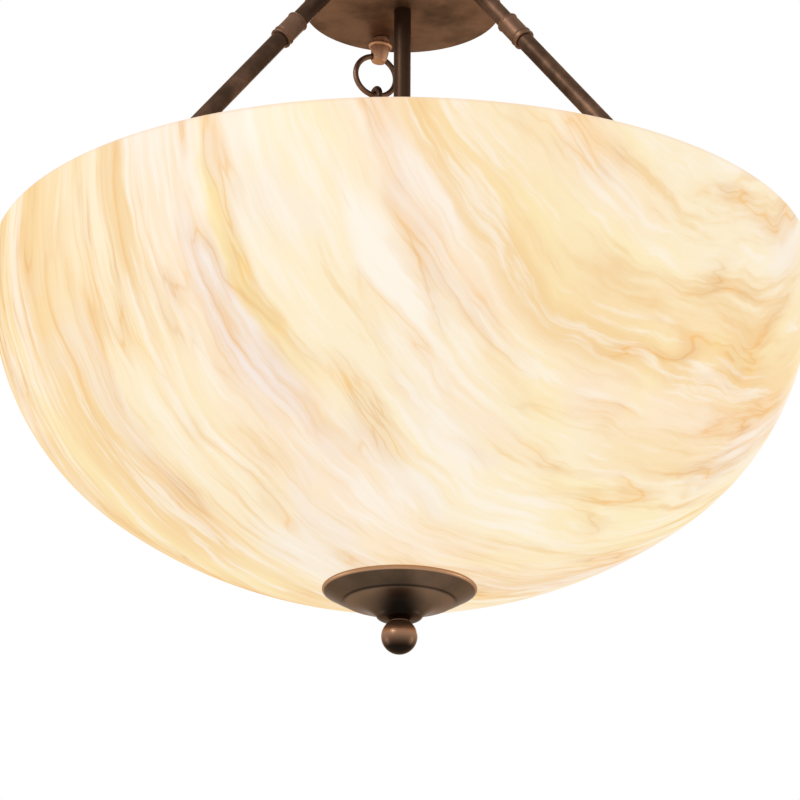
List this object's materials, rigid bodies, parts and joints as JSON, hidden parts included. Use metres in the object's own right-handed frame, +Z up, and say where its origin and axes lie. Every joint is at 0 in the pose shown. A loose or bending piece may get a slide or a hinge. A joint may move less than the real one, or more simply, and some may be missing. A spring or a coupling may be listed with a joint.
{
  "type": "three-light bowl pendant",
  "caption": "Pendant light with a streaked glass bowl on a centre stem and straight bronze arms, hung from a chain and ceiling canopy, with lamps inside the bowl.",
  "frame": {"origin": "middle of the crossbar on the face that meets the ceiling box", "axes": "+Z up towards the ceiling along the stem, the pendant hangs towards -Z; -Y is the front, +X the right of the picture"},
  "size_m": [0.61, 0.6098, 0.7804],
  "materials": {
    "bronze": "satin oiled bronze",
    "zinc_steel": "zinc plated",
    "socket_plastic": "matt",
    "brass": "satin",
    "lamp_glass": "frosted",
    "bowl_glass": "polished art glass with cream and honey streaks",
    "rubber": "matt"
  },
  "bodies": {
    "ceiling_fitting": {"crossbar": "zinc_steel", "canopy_nipple": "zinc_steel", "crossbar_nut": "zinc_steel", "canopy_loop": "bronze"},
    "canopy_cover": {"canopy": "bronze"},
    "collar_nut": {"canopy_collar": "bronze"},
    "link_1": {"chain_link_1": "bronze"},
    "link_2": {"chain_link_2": "bronze"},
    "link_3": {"chain_link_3": "bronze"},
    "link_4": {"chain_link_4": "bronze"},
    "frame_body": {"hub_loop": "bronze", "hub_nipple": "zinc_steel", "hub_bell": "bronze", "hub_plate": "bronze", "arm_1": "bronze", "arm_2": "bronze", "arm_3": "bronze", "arm_collar_1": "bronze", "arm_collar_2": "bronze", "arm_collar_3": "bronze", "bevel_washers": "zinc_steel", "arm_screws": "zinc_steel", "stem": "bronze", "ring_collar": "bronze", "ring_collar_nut": "zinc_steel", "spider": "zinc_steel", "spacer_tube": "zinc_steel", "cluster_body": "bronze", "cluster_lid": "bronze", "lock_nuts": "zinc_steel", "socket_nipples": "zinc_steel", "socket_shell_1": "socket_plastic", "socket_shell_2": "socket_plastic", "socket_shell_3": "socket_plastic", "socket_liner_1": "brass", "socket_liner_2": "brass", "socket_liner_3": "brass", "support_rod": "zinc_steel", "bowl_washer": "zinc_steel", "bowl_gasket": "rubber"},
    "bowl": {"glass_bowl": "bowl_glass", "bottom_cap": "bronze"},
    "finial_knob": {"finial": "bronze"},
    "lamp_1": {"bulb_base_1": "brass", "bulb_glass_1": "lamp_glass"},
    "lamp_2": {"bulb_base_2": "brass", "bulb_glass_2": "lamp_glass"},
    "lamp_3": {"bulb_base_3": "brass", "bulb_glass_3": "lamp_glass"},
    "ring": {"service_ring": "bronze"},
    "service_1": {"service_link_1": "bronze"},
    "service_2": {"service_link_2": "bronze"},
    "hook": {"service_hook": "bronze"}
  },
  "joints": [
    {"name": "canopy_drop", "type": "slide", "parent": "ceiling_fitting", "child": "canopy_cover", "axis": [0, 0, 1], "range_m": [-0.025, 0]},
    {"name": "collar_turn", "type": "hinge", "parent": "canopy_cover", "child": "collar_nut", "pos_m": [0, 0, -0.0335], "axis": [0, 0, 1], "continuous": true},
    {"name": "chain_swing_1", "type": "hinge", "parent": "ceiling_fitting", "child": "link_1", "pos_m": [0, 0, -0.0618], "axis": [1, 0, 0], "range_deg": [-12, 12]},
    {"name": "chain_swing_2", "type": "hinge", "parent": "link_1", "child": "link_2", "pos_m": [0, 0, -0.0895], "axis": [0, 1, 0], "range_deg": [-12, 12]},
    {"name": "chain_swing_3", "type": "hinge", "parent": "link_2", "child": "link_3", "pos_m": [0, 0, -0.1172], "axis": [1, 0, 0], "range_deg": [-12, 12]},
    {"name": "chain_swing_4", "type": "hinge", "parent": "link_3", "child": "link_4", "pos_m": [0, 0, -0.1449], "axis": [0, 1, 0], "range_deg": [-12, 12]},
    {"name": "hub_swing", "type": "hinge", "parent": "link_4", "child": "frame_body", "pos_m": [0, 0, -0.1726], "axis": [1, 0, 0], "range_deg": [-12, 12]},
    {"name": "bowl_drop", "type": "slide", "parent": "frame_body", "child": "bowl", "axis": [0, 0, 1], "range_m": [-0.04, 0]},
    {"name": "finial_turn", "type": "hinge", "parent": "bowl", "child": "finial_knob", "pos_m": [0, 0, -0.76717], "axis": [0, 0, 1], "continuous": true},
    {"name": "lamp_turn_1", "type": "hinge", "parent": "frame_body", "child": "lamp_1", "pos_m": [-0.07361, 0.0425, -0.53], "axis": [-0.866, 0.5, 0], "continuous": true},
    {"name": "lamp_turn_2", "type": "hinge", "parent": "frame_body", "child": "lamp_2", "pos_m": [0, -0.085, -0.53], "axis": [0, -1, 0], "continuous": true},
    {"name": "lamp_turn_3", "type": "hinge", "parent": "frame_body", "child": "lamp_3", "pos_m": [0.07361, 0.0425, -0.53], "axis": [0.866, 0.5, 0], "continuous": true},
    {"name": "ring_swing", "type": "hinge", "parent": "frame_body", "child": "ring", "pos_m": [-0.0182, 0.0507, -0.28051], "axis": [0.9145, 0.3695, -0.165], "range_deg": [-8, 15]},
    {"name": "service_swing_1", "type": "hinge", "parent": "ring", "child": "service_1", "pos_m": [-0.02076, 0.04967, -0.31368], "axis": [0.9272, 0.3746, 0], "range_deg": [-8, 20]},
    {"name": "service_swing_2", "type": "hinge", "parent": "service_1", "child": "service_2", "pos_m": [-0.02076, 0.04967, -0.34138], "axis": [-0.3746, 0.9272, 0], "range_deg": [-8, 20]},
    {"name": "hook_swing", "type": "hinge", "parent": "service_2", "child": "hook", "pos_m": [-0.02076, 0.04967, -0.36908], "axis": [0.9272, 0.3746, 0], "range_deg": [-8, 20]}
  ]
}
